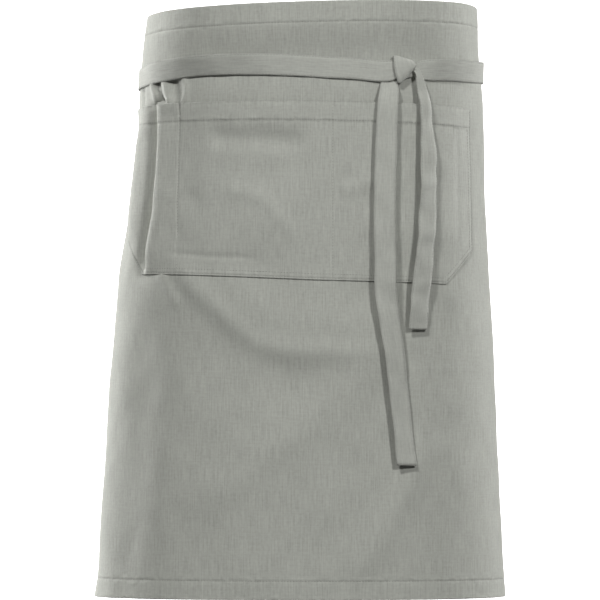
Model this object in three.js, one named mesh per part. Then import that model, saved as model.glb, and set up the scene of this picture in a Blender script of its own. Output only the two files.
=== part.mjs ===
// A waist apron as it is worn: one cloth wrapped round the hips and open at the back, a front
// pocket sewn into three compartments, and two ties that cross behind and are knotted in front.
// Millimetres. +Z is up, the front faces -Y and +X is to the right as seen from the front.
// The origin is the middle of the waist, at the height of the tied band.
// A place on the cloth is given as along (round the body from the front centre line, + to the
// right), down (from the top edge) and out (away from the body, from the cloth's outer face).
import * as THREE from 'three';

// Cloth, hemmed
const clothLength = 600;
const clothWidth = 900;
const clothTuck = 35;            // width taken up by the tuck at the left of the waist
const clothShift = -7;           // middle of the wrapped cloth from the front centre line
const clothWall = 1.2;
const hemWall = 2.4;             // where the cloth is turned in
const topHem = 22;
const bottomHem = 20;
const sideHem = 15;
const hemStep = 2;               // run over which the wall thickens to the turned hem

// Body that the cloth goes round
const waistHalfWidth = 176;
const waistHalfDepth = 125;
const girthPower = 2.3;          // 2 is an ellipse, more is squarer
const tieDown = 67;              // top edge to the middle of the tied band

// Pocket
const pocketBelowTie = 22;       // tied band to the pocket's top edge
const pocketHeight = 180;
const pocketRight = 182;         // its right edge from the front centre line
const compartmentWidth = 160;
const compartmentCount = 3;
const pocketTuck = 45;           // width of the left compartment taken up by the tuck
const pocketChamfer = 40;        // cut lower corners
const pocketWall = 1.2;
const pocketHem = 20;
const pocketHemWall = 2.2;
const pocketRoom = 6.6;          // how far each compartment stands open
const pocketFootRun = 36;        // height over which a compartment opens from its bottom seam
const pocketFullness = 0.6;       // 1 is a plain arch between the seams, less is fuller beside them
const seamGap = 0.4;

// Ties
const tieWidth = 22;
const tieWall = 1.6;
const tieGap = 0.6;
const tieSeam = 24;              // length of each tie sewn on the cloth
const knotAlong = 95;
const knotSag = 3;               // the knot hangs this much below the tied band
const layerGap = 0.7;            // between tie layers in the knot and where the ties cross behind
const tailLift = 0.265;          // middle of a tail out from the pocket, as a share of tieWidth
const shortTail = 257;           // knot to the end of the left tie
const longTail = 395;            // knot to the end of the right tie

// Sizes of the folds
const foldRise = 6;
const foldSpread = 10;
const foldFade = 0.2;            // share of a fold's length over which it fades at each end

const layerPitch = tieWall + layerGap;
const knotDown = tieDown + knotSag;
const tailOut = seamGap + pocketRoom + pocketHemWall + tailLift * tieWidth;
const pocketDown = tieDown + tieWidth / 2 + pocketBelowTie;
const pocketBottom = pocketDown + pocketHeight;
const clothLeft = clothShift - (clothWidth - clothTuck) / 2;
const clothRight = clothShift + (clothWidth - clothTuck) / 2;
const pocketLeft = pocketRight - compartmentCount * compartmentWidth + pocketTuck;
const pocketSeams = [pocketLeft];
for (let i = compartmentCount - 1; i >= 0; i -= 1) {
  pocketSeams.push(pocketRight - i * compartmentWidth);
}

// Girth of the cloth's outer face. down is a share of clothLength, left and right are shares
// of waistHalfWidth, front and back are shares of waistHalfDepth.
const girths = [
  { down: 0.00, left: 0.944, right: 0.960, front: 0.975, back: 0.970 },
  { down: 0.06, left: 0.966, right: 0.972, front: 0.985, back: 0.985 },
  { down: 0.11, left: 0.985, right: 0.986, front: 0.990, back: 0.990 },
  { down: 0.15, left: 1.000, right: 1.000, front: 1.000, back: 1.015 },
  { down: 0.20, left: 1.006, right: 1.002, front: 1.000, back: 1.060 },
  { down: 0.30, left: 1.041, right: 1.014, front: 1.000, back: 1.120 },
  { down: 0.40, left: 1.085, right: 1.031, front: 1.000, back: 1.180 },
  { down: 0.48, left: 1.128, right: 1.046, front: 1.000, back: 1.210 },
  { down: 0.60, left: 1.163, right: 1.067, front: 1.000, back: 1.220 },
  { down: 0.80, left: 1.209, right: 1.101, front: 1.010, back: 1.225 },
  { down: 1.00, left: 1.255, right: 1.132, front: 1.020, back: 1.240 },
];

// How far the cloth rides up at its sides. down, left and right are shares of clothLength.
const rides = [
  { down: 0.000, left: -0.008, right: 0.008 },
  { down: 0.110, left: -0.0045, right: 0.003 },
  { down: 0.167, left: 0.000, right: -0.006 },
  { down: 0.467, left: 0.0145, right: -0.0075 },
  { down: 1.000, left: 0.000, right: 0.000 },
];

// Folds, each along a short line on the cloth. Its points give along as a share of
// waistHalfWidth and down as a share of clothLength. rise is a share of foldRise and spread
// a share of foldSpread.
const folds = [
  { name: 'tuck ridge', rise: 0.75, spread: 0.75,
    line: [[-0.930, 0.135], [-0.965, 0.250], [-0.980, 0.335], [-1.030, 0.450]] },
  { name: 'tuck valley', rise: -1.05, spread: 0.85,
    line: [[-1.010, 0.135], [-1.030, 0.265], [-1.060, 0.390], [-1.075, 0.480]] },
  { name: 'tuck roll', rise: 0.60, spread: 1.3,
    line: [[-1.170, 0.130], [-1.180, 0.250], [-1.190, 0.430]] },
  { name: 'hollow beside the tuck', rise: -0.40, spread: 1.1,
    line: [[-0.830, 0.130], [-0.850, 0.200], [-0.870, 0.300]] },
  { name: 'left side valley', rise: -0.55, spread: 1.4,
    line: [[-1.060, 0.460], [-1.120, 0.610], [-1.190, 0.780], [-1.280, 1.050]] },
  { name: 'drape under the pocket', rise: 0.50, spread: 2.2,
    line: [[-0.830, 0.460], [-0.560, 0.525], [-0.385, 0.585], [0.100, 0.600], [0.500, 0.590]] },
  { name: 'slack under the drape', rise: -0.30, spread: 2.6,
    line: [[-0.640, 0.610], [-0.330, 0.660], [0.250, 0.665]] },
  { name: 'soft lower fold', rise: 0.65, spread: 4.0,
    line: [[0.560, 0.630], [0.330, 0.780], [-0.100, 0.900]] },
  { name: 'right lower fold', rise: -0.55, spread: 3.0,
    line: [[0.950, 0.700], [0.620, 0.870], [0.380, 1.020]] },
  { name: 'right side roll', rise: 0.50, spread: 1.6,
    line: [[1.220, 0.140], [1.200, 0.300], [1.240, 0.480]] },
  { name: 'left back flute', rise: 1.10, spread: 3.2,
    line: [[-1.900, 0.350], [-1.960, 0.650], [-2.020, 1.050]] },
  { name: 'left back hollow', rise: -0.90, spread: 3.0,
    line: [[-1.560, 0.400], [-1.600, 0.700], [-1.660, 1.050]] },
  { name: 'right back flute', rise: 1.00, spread: 3.2,
    line: [[1.860, 0.380], [1.930, 0.700], [1.990, 1.050]] },
  { name: 'right back hollow', rise: -0.80, spread: 3.0,
    line: [[1.540, 0.420], [1.580, 0.720], [1.640, 1.050]] },
];

// A tie on its way from the sewn end to the side of the body. share is of that way, fall is
// the share of the drop to the waist made there, and layer is how far the left tie stands out,
// in tie layers, to pass over the right one.
const tieCourse = [
  { share: 0.00, fall: 0.00, layer: 0.0 },
  { share: 0.05, fall: 0.00, layer: 0.0 },
  { share: 0.12, fall: 0.03, layer: 1.3 },
  { share: 0.40, fall: 0.52, layer: 1.3 },
  { share: 0.58, fall: 0.73, layer: 0.0 },
  { share: 0.75, fall: 0.88, layer: 0.0 },
  { share: 1.00, fall: 1.00, layer: 0.0 },
];

// Each tie through the knot and down its tail. along and drop are shares of tieWidth from the
// knot's middle, layer counts tie layers out from the cloth, aim is the direction of the tie's
// breadth on the cloth (0 along, 90 up), turn is its angle out of the cloth, breadth a share
// of tieWidth. In a tail, drop is a share of the tail's length and reach a share of tailOut.
const leftKnot = [
  { along: -3.60, drop: -0.02, layer: 0.0, aim: 90, turn: 0, breadth: 1.00 },
  { along: -2.30, drop: 0.02, layer: 0.0, aim: 90, turn: 0, breadth: 1.00 },
  { along: -1.30, drop: 0.03, layer: 1.0, aim: 90, turn: 0, breadth: 1.00 },
  { along: -0.60, drop: 0.02, layer: 1.3, aim: 90, turn: 0, breadth: 0.90 },
  { along: -0.05, drop: -0.02, layer: 1.3, aim: 90, turn: 0, breadth: 0.70 },
  { along: 0.34, drop: -0.06, layer: 1.35, aim: 90, turn: 8, breadth: 0.60 },
  { along: 0.66, drop: -0.04, layer: 2.7, aim: 82, turn: 36, breadth: 0.52 },
  { along: 0.84, drop: 0.24, layer: 4.2, aim: 40, turn: 60, breadth: 0.48 },
];
const leftTail = [
  { along: 0.93, drop: 0.045, reach: 0.86, turn: 50, breadth: 0.50 },
  { along: 1.11, drop: 0.105, reach: 1.00, turn: 38, breadth: 0.62 },
  { along: 1.20, drop: 0.170, reach: 1.04, turn: 36, breadth: 0.70 },
  { along: 1.31, drop: 0.330, reach: 1.04, turn: 30, breadth: 0.85 },
  { along: 1.29, drop: 0.480, reach: 1.04, turn: 31, breadth: 0.90 },
  { along: 1.18, drop: 0.650, reach: 1.08, turn: 33, breadth: 0.95 },
  { along: 1.00, drop: 0.800, reach: 1.06, turn: 34, breadth: 1.00 },
  { along: 0.86, drop: 0.930, reach: 0.86, turn: 34, breadth: 1.00 },
  { along: 0.82, drop: 1.000, reach: 0.76, turn: 38, breadth: 1.00 },
];
const rightKnot = [
  { along: 3.60, drop: 0.12, layer: 0.0, aim: -90, turn: 0, breadth: 1.00 },
  { along: 2.20, drop: 0.12, layer: 0.0, aim: -90, turn: 0, breadth: 1.00 },
  { along: 1.40, drop: 0.15, layer: 0.0, aim: -90, turn: 0, breadth: 0.95 },
  { along: 0.88, drop: 0.34, layer: 0.0, aim: -95, turn: 0, breadth: 0.60 },
  { along: 0.48, drop: 0.50, layer: 1.0, aim: -120, turn: 0, breadth: 0.48 },
  { along: 0.14, drop: 0.44, layer: 2.7, aim: -150, turn: 0, breadth: 0.52 },
  { along: -0.04, drop: 0.10, layer: 3.1, aim: -172, turn: 0, breadth: 0.66 },
  { along: -0.07, drop: -0.28, layer: 2.8, aim: -180, turn: 0, breadth: 0.85 },
  { along: -0.14, drop: -0.62, layer: 1.9, aim: -180, turn: 0, breadth: 0.88 },
  { along: -0.22, drop: -0.66, layer: 0.6, aim: -180, turn: 0, breadth: 0.85 },
  { along: -0.34, drop: -0.40, layer: 0.0, aim: -176, turn: 0, breadth: 0.75 },
  { along: -0.56, drop: 0.10, layer: 0.0, aim: -172, turn: 0, breadth: 0.70 },
  { along: -0.70, drop: 0.58, layer: 0.2, aim: -176, turn: 0, breadth: 0.74 },
];
const rightTail = [
  { along: -0.76, drop: 0.055, reach: 0.50, turn: -6, breadth: 0.86 },
  { along: -0.84, drop: 0.085, reach: 0.84, turn: -8, breadth: 0.95 },
  { along: -0.90, drop: 0.180, reach: 0.92, turn: -5, breadth: 1.00 },
  { along: -0.96, drop: 0.340, reach: 0.95, turn: -14, breadth: 1.00 },
  { along: -0.95, drop: 0.470, reach: 0.90, turn: -10, breadth: 1.00 },
  { along: -0.92, drop: 0.560, reach: 0.80, turn: -2, breadth: 1.00 },
  { along: -0.74, drop: 0.645, reach: 0.64, turn: -20, breadth: 1.00 },
  { along: -0.48, drop: 0.745, reach: 0.62, turn: -24, breadth: 0.97 },
  { along: -0.30, drop: 0.820, reach: 0.60, turn: -28, breadth: 0.90 },
  { along: -0.08, drop: 0.925, reach: 0.58, turn: -30, breadth: 0.86 },
  { along: 0.09, drop: 1.000, reach: 0.58, turn: -30, breadth: 0.86 },
];

const { lerp, clamp, degToRad } = THREE.MathUtils;

function ease(share) {
  const t = clamp(share, 0, 1);
  return t * t * (3 - 2 * t);
}

// Value of a column where another column has the value at, on a smooth curve through the rows.
function readTable(rows, column, key, at) {
  const last = rows.length - 1;
  const place = clamp(at, rows[0][key], rows[last][key]);
  let i = 0;
  while (i < last - 1 && place > rows[i + 1][key]) i += 1;
  const slope = (k) => {
    const before = rows[Math.max(k - 1, 0)];
    const after = rows[Math.min(k + 1, last)];
    return (after[column] - before[column]) / (after[key] - before[key]);
  };
  const step = rows[i + 1][key] - rows[i][key];
  const t = (place - rows[i][key]) / step;
  const a = rows[i][column];
  const b = rows[i + 1][column];
  return (2 * t ** 3 - 3 * t ** 2 + 1) * a + (t ** 3 - 2 * t ** 2 + t) * step * slope(i)
    + (3 * t ** 2 - 2 * t ** 3) * b + (t ** 3 - t ** 2) * step * slope(i + 1);
}

// One half of the girth at a height, as points with their distance round from the front.
const girthSteps = 360;
const girthCache = new Map();

function halfGirth(down, side) {
  const key = `${down.toFixed(4)} ${side}`;
  if (!girthCache.has(key)) {
    const share = down / clothLength;
    const width = waistHalfWidth * readTable(girths, side, 'down', share);
    const front = waistHalfDepth * readTable(girths, 'front', 'down', share);
    const back = waistHalfDepth * readTable(girths, 'back', 'down', share);
    const points = [];
    let run = 0;
    for (let i = 0; i <= girthSteps; i += 1) {
      const angle = (Math.PI * i) / girthSteps;
      const across = width * Math.abs(Math.sin(angle)) ** (2 / girthPower);
      const deep = Math.abs(Math.cos(angle)) ** (2 / girthPower);
      const y = angle < Math.PI / 2 ? -front * deep : back * deep;
      if (i > 0) run += Math.hypot(across - points[i - 1].across, y - points[i - 1].y);
      points.push({ across, y, run });
    }
    girthCache.set(key, { points, width, length: run });
  }
  return girthCache.get(key);
}

// Point of the plain girth. A place past the back centre line comes round on the other side.
function girthPoint(along, down) {
  const leftHalf = halfGirth(down, 'left');
  const rightHalf = halfGirth(down, 'right');
  const whole = leftHalf.length + rightHalf.length;
  let place = along;
  while (place > rightHalf.length) place -= whole;
  while (place < -leftHalf.length) place += whole;
  const half = place < 0 ? leftHalf : rightHalf;
  const run = Math.abs(place);
  let low = 0;
  let high = girthSteps;
  while (high - low > 1) {
    const middle = (low + high) >> 1;
    if (half.points[middle].run <= run) low = middle;
    else high = middle;
  }
  const a = half.points[low];
  const b = half.points[high];
  const t = (run - a.run) / (b.run - a.run);
  const across = lerp(a.across, b.across, t);
  const ride = readTable(rides, place < 0 ? 'left' : 'right', 'down', down / clothLength);
  const z = tieDown - down + clothLength * ride * (across / half.width);
  return new THREE.Vector3(place < 0 ? -across : across, lerp(a.y, b.y, t), z);
}

// Height of the folds on the cloth.
function foldHeight(along, down) {
  let height = 0;
  for (const fold of folds) {
    let nearest = Infinity;
    let share = 0;
    for (let i = 0; i < fold.line.length - 1; i += 1) {
      const ax = fold.line[i][0] * waistHalfWidth;
      const ay = fold.line[i][1] * clothLength;
      const dx = fold.line[i + 1][0] * waistHalfWidth - ax;
      const dy = fold.line[i + 1][1] * clothLength - ay;
      const t = clamp(((along - ax) * dx + (down - ay) * dy) / (dx * dx + dy * dy), 0, 1);
      const distance = Math.hypot(along - ax - t * dx, down - ay - t * dy);
      if (distance < nearest) {
        nearest = distance;
        share = (i + t) / (fold.line.length - 1);
      }
    }
    const fade = ease(share / foldFade) * ease((1 - share) / foldFade);
    const across = nearest / (fold.spread * foldSpread);
    height += fold.rise * foldRise * fade * Math.exp(-across * across);
  }
  return height;
}

// Point on the folded cloth and its direction out of the cloth, both level.
const probe = 1.5;

function foldedPoint(along, down) {
  const point = girthPoint(along, down);
  const before = girthPoint(along - probe, down);
  const after = girthPoint(along + probe, down);
  const normal = new THREE.Vector3(after.y - before.y, before.x - after.x, 0).normalize();
  return point.addScaledVector(normal, foldHeight(along, down));
}

function clothPoint(along, down, out) {
  const point = foldedPoint(along, down);
  const before = foldedPoint(along - probe, down);
  const after = foldedPoint(along + probe, down);
  const normal = new THREE.Vector3(after.y - before.y, before.x - after.x, 0).normalize();
  return point.addScaledVector(normal, out);
}

// Where a tie lies flat on the cloth, with its three directions.
function tieFrame(along, down, out) {
  const before = foldedPoint(along - probe, down);
  const after = foldedPoint(along + probe, down);
  const onward = new THREE.Vector3(after.x - before.x, after.y - before.y, 0).normalize();
  const upper = foldedPoint(along, down - tieWidth / 2);
  const lower = foldedPoint(along, down + tieWidth / 2);
  const up = upper.clone().sub(lower).normalize();
  const normal = onward.clone().cross(up).normalize();
  const point = upper.clone().add(lower).multiplyScalar(0.5);
  const crown = Math.max(0, foldedPoint(along, down).sub(point).dot(normal));
  point.addScaledVector(normal, out + crown);
  return { point, onward, normal, up };
}

// A closed sheet from two faces of columns x rows points, the outer one facing out.
function sheetGeometry(outer, inner) {
  const columns = outer.length;
  const rows = outer[0].length;
  const positions = [];
  for (const face of [outer, inner]) {
    for (const column of face) {
      for (const point of column) positions.push(point.x, point.y, point.z);
    }
  }
  const at = (face, i, j) => (face * columns + i) * rows + j;
  const index = [];
  const quad = (a, b, c, d) => index.push(a, b, c, a, c, d);
  for (let i = 0; i < columns - 1; i += 1) {
    for (let j = 0; j < rows - 1; j += 1) {
      quad(at(0, i, j), at(0, i, j + 1), at(0, i + 1, j + 1), at(0, i + 1, j));
      quad(at(1, i, j), at(1, i + 1, j), at(1, i + 1, j + 1), at(1, i, j + 1));
    }
    quad(at(0, i, 0), at(0, i + 1, 0), at(1, i + 1, 0), at(1, i, 0));
    quad(at(0, i + 1, rows - 1), at(0, i, rows - 1), at(1, i, rows - 1), at(1, i + 1, rows - 1));
  }
  const far = columns - 1;
  for (let j = 0; j < rows - 1; j += 1) {
    quad(at(0, 0, j + 1), at(0, 0, j), at(1, 0, j), at(1, 0, j + 1));
    quad(at(0, far, j), at(0, far, j + 1), at(1, far, j + 1), at(1, far, j));
  }
  const geometry = new THREE.BufferGeometry();
  geometry.setAttribute('position', new THREE.Float32BufferAttribute(positions, 3));
  geometry.setIndex(index);
  geometry.computeVertexNormals();
  return geometry;
}

// Places between named stops, with a wished step in each stretch.
function placesBetween(stops) {
  const places = [stops[0].at];
  for (let i = 1; i < stops.length; i += 1) {
    const from = stops[i - 1].at;
    const count = Math.max(1, Math.round((stops[i].at - from) / stops[i].step));
    for (let k = 1; k <= count; k += 1) places.push(lerp(from, stops[i].at, k / count));
  }
  return places;
}

// Steps of the cloth's mesh
const backStep = 24;
const frontStep = 16;
const tuckStep = 8;
const gapStep = 18;
const rowStep = 27;
const pocketRowStep = 22;
const chamferRowStep = 11;
const stationRoom = 4;           // least way between two of a tie's stations
const knotSteps = 2;             // stations for each row of a knot or tail

const columns = placesBetween([
  { at: clothLeft },
  { at: clothLeft + sideHem, step: backStep },
  { at: clothLeft + sideHem + hemStep, step: hemStep },
  { at: pocketLeft, step: backStep },
  { at: pocketSeams[1], step: tuckStep },
  { at: pocketSeams[2], step: frontStep },
  { at: pocketRight - pocketChamfer, step: frontStep },
  { at: pocketRight, step: frontStep },
  { at: clothRight - sideHem - hemStep, step: backStep },
  { at: clothRight - sideHem, step: hemStep },
  { at: clothRight, step: backStep },
]);
const pocketRows = placesBetween([
  { at: pocketDown },
  { at: pocketDown + pocketHem, step: pocketRowStep },
  { at: pocketDown + pocketHem + hemStep, step: hemStep },
  { at: pocketBottom - pocketChamfer, step: pocketRowStep },
  { at: pocketBottom, step: chamferRowStep },
]);
const rows = [
  ...placesBetween([
    { at: 0 },
    { at: topHem, step: rowStep },
    { at: topHem + hemStep, step: hemStep },
    { at: tieDown, step: rowStep },
    { at: pocketDown, step: chamferRowStep },
  ]),
  ...pocketRows.slice(1),
  ...placesBetween([
    { at: pocketBottom },
    { at: clothLength - bottomHem - hemStep, step: rowStep },
    { at: clothLength - bottomHem, step: hemStep },
    { at: clothLength, step: rowStep },
  ]).slice(1),
];

const nearly = 1e-6;

// The skirt
function skirtWall(along, down) {
  const fromEdge = Math.min(
    down / topHem,
    (clothLength - down) / bottomHem,
    (along - clothLeft) / sideHem,
    (clothRight - along) / sideHem,
  );
  return fromEdge < 1 + nearly ? hemWall : clothWall;
}

function skirtGeometry() {
  const face = (depth) => columns.map((along) => rows.map(
    (down) => clothPoint(along, down, -depth * skirtWall(along, down)),
  ));
  return sheetGeometry(face(0), face(1));
}

// The pocket
function pocketOpening(along, down) {
  let next = 1;
  while (next < pocketSeams.length - 1 && along > pocketSeams[next]) next += 1;
  const from = pocketSeams[next - 1];
  const across = clamp((along - from) / (pocketSeams[next] - from), 0, 1);
  const crown = Math.sin(Math.PI * across) ** pocketFullness;
  return pocketRoom * crown * ease((pocketBottom - down) / pocketFootRun);
}

function pocketFoot(along) {
  const fromSide = Math.min(along - pocketLeft, pocketRight - along);
  return pocketBottom - Math.max(0, pocketChamfer - fromSide);
}

function pocketGeometry() {
  const pocketColumns = columns.filter((along) => along >= pocketLeft && along <= pocketRight);
  const face = (outside) => pocketColumns.map((along) => pocketRows.map((row) => {
    const share = (row - pocketDown) / pocketHeight;
    const down = pocketDown + share * (pocketFoot(along) - pocketDown);
    const turned = row <= pocketDown + pocketHem;
    const inset = turned ? pocketHemWall : pocketWall;
    const outerFace = seamGap + pocketOpening(along, down)
      + lerp(pocketHemWall, pocketWall, ease((row - pocketDown - pocketHem) / pocketHem));
    return clothPoint(along, down, outside ? outerFace : outerFace - inset);
  }));
  return sheetGeometry(face(true), face(false));
}

// A tape through stations that give its middle, the way of its breadth and its breadth.
function tapeGeometry(stations) {
  const last = stations.length - 1;
  const face = (side) => stations.map((stop, i) => {
    const before = stations[Math.max(i - 1, 0)].point;
    const after = stations[Math.min(i + 1, last)].point;
    const onward = after.clone().sub(before).normalize();
    const normal = onward.cross(stop.breadthWay).normalize();
    return [0.5, -0.5].map((share) => stop.point.clone()
      .addScaledVector(stop.breadthWay, share * stop.breadth)
      .addScaledVector(normal, (side * tieWall) / 2));
  });
  return sheetGeometry(face(1), face(-1));
}

function tapeStation(along, down, out, aim, turn, breadth) {
  const frame = tieFrame(along, down, out);
  const level = degToRad(aim);
  const lift = degToRad(turn);
  const breadthWay = frame.onward.multiplyScalar(Math.cos(level) * Math.cos(lift))
    .addScaledVector(frame.up, Math.sin(level) * Math.cos(lift))
    .addScaledVector(frame.normal, Math.sin(lift));
  return { point: frame.point, breadthWay, breadth: breadth * tieWidth };
}

function layerOut(layer) {
  return tieGap + tieWall / 2 + layer * layerPitch;
}

// The part of a tie from its sewn end, across the open back and round the side to the knot.
// The left tie, side -1, is sewn at the cloth's right edge, and the right tie at its left edge.
function bandStations(side, knotRow) {
  const leftLength = halfGirth(tieDown, 'left').length;
  const rightLength = halfGirth(tieDown, 'right').length;
  const whole = leftLength + rightLength;
  const seamEnd = side < 0 ? clothRight - whole : clothLeft + whole;
  const start = seamEnd + side * tieSeam;
  const farEdge = side < 0 ? clothLeft : clothRight;
  const bodySide = side < 0 ? -leftLength / 2 : rightLength / 2;
  const end = knotAlong + knotRow.along * tieWidth;
  const ownPlaces = [
    start,
    seamEnd + side * (sideHem + hemStep),
    seamEnd + side * sideHem,
    ...placesBetween([{ at: seamEnd }, { at: farEdge, step: -side * gapStep }]),
  ];
  const onCloth = columns.filter((along) => (
    side * (farEdge - along) > 1 && side * (along - end) > stationRoom
  ));
  if (side > 0) onCloth.reverse();
  return [...ownPlaces, ...onCloth].map((along) => {
    const share = clamp((along - start) / (bodySide - start), 0, 1);
    const fall = readTable(tieCourse, 'fall', 'share', share);
    const layer = side < 0 ? readTable(tieCourse, 'layer', 'share', share) : 0;
    const toKnot = clamp((along - bodySide) / (end - bodySide), 0, 1);
    const bandDown = lerp(tieWidth / 2, tieDown, fall);
    const down = lerp(bandDown, knotDown + knotRow.drop * tieWidth, ease(toKnot));
    return tapeStation(along, down, layerOut(layer), -90 * side, 0, 1);
  });
}

// The part of a tie in the knot and down its tail, on a smooth curve through its rows.
function knotStations(knotRows, tailRows, tailLength, tailAim) {
  const inKnot = knotRows.map((row) => ({
    along: row.along, down: row.drop * tieWidth, out: layerOut(row.layer),
    aim: row.aim, turn: row.turn, breadth: row.breadth,
  }));
  const inTail = tailRows.map((row) => ({
    along: row.along, down: row.drop * tailLength, out: row.reach * tailOut,
    aim: tailAim, turn: row.turn, breadth: row.breadth,
  }));
  const course = [...inKnot, ...inTail].map((row, order) => ({ ...row, order }));
  const stations = [];
  for (let i = 0; i <= (course.length - 1) * knotSteps; i += 1) {
    const read = (column) => readTable(course, column, 'order', i / knotSteps);
    const along = knotAlong + read('along') * tieWidth;
    const down = knotDown + read('down');
    stations.push(tapeStation(along, down, read('out'), read('aim'), read('turn'), read('breadth')));
  }
  return stations;
}

function leftTieGeometry() {
  return tapeGeometry([
    ...bandStations(-1, leftKnot[0]),
    ...knotStations(leftKnot, leftTail, shortTail, 0),
  ]);
}

function rightTieGeometry() {
  return tapeGeometry([
    ...bandStations(1, rightKnot[0]),
    ...knotStations(rightKnot, rightTail, longTail, -180),
  ]);
}

const cloth = new THREE.MeshStandardMaterial({ color: 0x9ea098, roughness: 0.9, metalness: 0 });
const pocketCloth = cloth.clone();
const tape = new THREE.MeshStandardMaterial({ color: 0xa2a49c, roughness: 0.88, metalness: 0 });

function piece(name, geometry, material) {
  const mesh = new THREE.Mesh(geometry, material);
  mesh.name = name;
  return mesh;
}

const apron = new THREE.Group();
apron.add(piece('skirt', skirtGeometry(), cloth));
apron.add(piece('pocket', pocketGeometry(), pocketCloth));
apron.add(piece('tie_left', leftTieGeometry(), tape));
apron.add(piece('tie_right', rightTieGeometry(), tape.clone()));

export default apron;
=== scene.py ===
import math

import bpy
import numpy as np
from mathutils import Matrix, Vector


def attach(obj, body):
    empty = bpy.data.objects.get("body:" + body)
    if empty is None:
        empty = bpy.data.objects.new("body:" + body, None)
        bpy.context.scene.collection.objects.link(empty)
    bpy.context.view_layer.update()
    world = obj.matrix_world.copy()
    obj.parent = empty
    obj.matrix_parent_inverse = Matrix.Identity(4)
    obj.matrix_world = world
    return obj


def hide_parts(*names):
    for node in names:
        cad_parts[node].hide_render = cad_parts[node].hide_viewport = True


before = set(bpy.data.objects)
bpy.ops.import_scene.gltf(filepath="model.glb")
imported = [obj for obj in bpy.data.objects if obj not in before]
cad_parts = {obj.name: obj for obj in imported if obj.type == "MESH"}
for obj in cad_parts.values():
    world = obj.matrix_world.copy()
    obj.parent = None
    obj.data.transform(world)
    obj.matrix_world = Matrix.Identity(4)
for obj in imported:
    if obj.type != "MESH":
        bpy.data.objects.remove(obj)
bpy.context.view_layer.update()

scene = bpy.context.scene
mm = 0.001
print("frame loaded:", sorted(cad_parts))


# Small helpers. A place on the cloth is given by along (round the body from the front
# centre line, + to the right) and down (from the top edge), both in millimetres.

def ease(share):
    t = np.clip(share, 0, 1)
    return t * t * (3 - 2 * t)


def bump(distance, width):
    return np.exp(-(distance / width) ** 2)


def smoothRead(rows, column, at):
    # value of a column where the first column has the value at, on a smooth curve
    table = np.asarray(rows, float)
    keys, values = table[:, 0], table[:, column]
    count = len(keys)
    at = np.clip(at, keys[0], keys[-1])
    i = np.clip(np.searchsorted(keys, at, side="left") - 1, 0, count - 2)
    before = np.maximum(np.arange(count) - 1, 0)
    after = np.minimum(np.arange(count) + 1, count - 1)
    slopes = (values[after] - values[before]) / (keys[after] - keys[before])
    step = keys[i + 1] - keys[i]
    t = (at - keys[i]) / step
    return ((2 * t**3 - 3 * t**2 + 1) * values[i] + (t**3 - 2 * t**2 + t) * step * slopes[i]
            + (3 * t**2 - 2 * t**3) * values[i + 1] + (t**3 - t**2) * step * slopes[i + 1])


def placesBetween(stops):
    # places from stop to stop, with a wished step in each stretch
    places = [stops[0]]
    for at, step in stops[1:]:
        count = max(1, round((at - places[-1]) / step))
        start = places[-1]
        places += [start + (at - start) * k / count for k in range(1, count + 1)]
    return np.array(places)


# The body the cloth is worn round, and the cloth cut for it (mm)
body = {
    "halfWidth": 176, "halfDepth": 125, "power": 2.3, "tieDown": 67,
    # down, left, right, front, back: shares of length, halfWidth and halfDepth
    "girths": [
        (0.00, 0.944, 0.960, 0.975, 0.970), (0.06, 0.966, 0.972, 0.985, 0.985),
        (0.11, 0.985, 0.986, 0.990, 0.990), (0.15, 1.000, 1.000, 1.000, 1.015),
        (0.20, 1.006, 1.002, 1.000, 1.060), (0.30, 1.041, 1.014, 1.000, 1.120),
        (0.40, 1.085, 1.031, 1.000, 1.180), (0.48, 1.128, 1.046, 1.000, 1.210),
        (0.60, 1.163, 1.067, 1.000, 1.220), (0.80, 1.209, 1.101, 1.010, 1.225),
        (1.00, 1.255, 1.132, 1.020, 1.240),
    ],
    # how far the cloth rides up at its sides: down, left, right, shares of length
    "rides": [
        (0.000, -0.008, 0.008), (0.110, -0.0045, 0.003), (0.167, 0.000, -0.006),
        (0.467, 0.0145, -0.0075), (1.000, 0.000, 0.000),
    ],
}
cloth = {
    "length": 600, "width": 900, "tuck": 35, "shift": -7, "wall": 0.9, "hemWall": 1.9,
    "topHem": 22, "bottomHem": 20, "sideHem": 15, "stitchIn": 1, "edgeRound": 0.9,
}
clothLeft = cloth["shift"] - (cloth["width"] - cloth["tuck"]) / 2
clothRight = cloth["shift"] + (cloth["width"] - cloth["tuck"]) / 2
# where the hems are sewn: down at the top and bottom, along at the two sides
topSeam = cloth["topHem"] - cloth["stitchIn"]
bottomSeam = cloth["length"] - cloth["bottomHem"] + cloth["stitchIn"]
leftSeam = clothLeft + cloth["sideHem"] - cloth["stitchIn"]
rightSeam = clothRight - cloth["sideHem"] + cloth["stitchIn"]


gridStep = {"down": 2.0, "along": 1.0}


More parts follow.
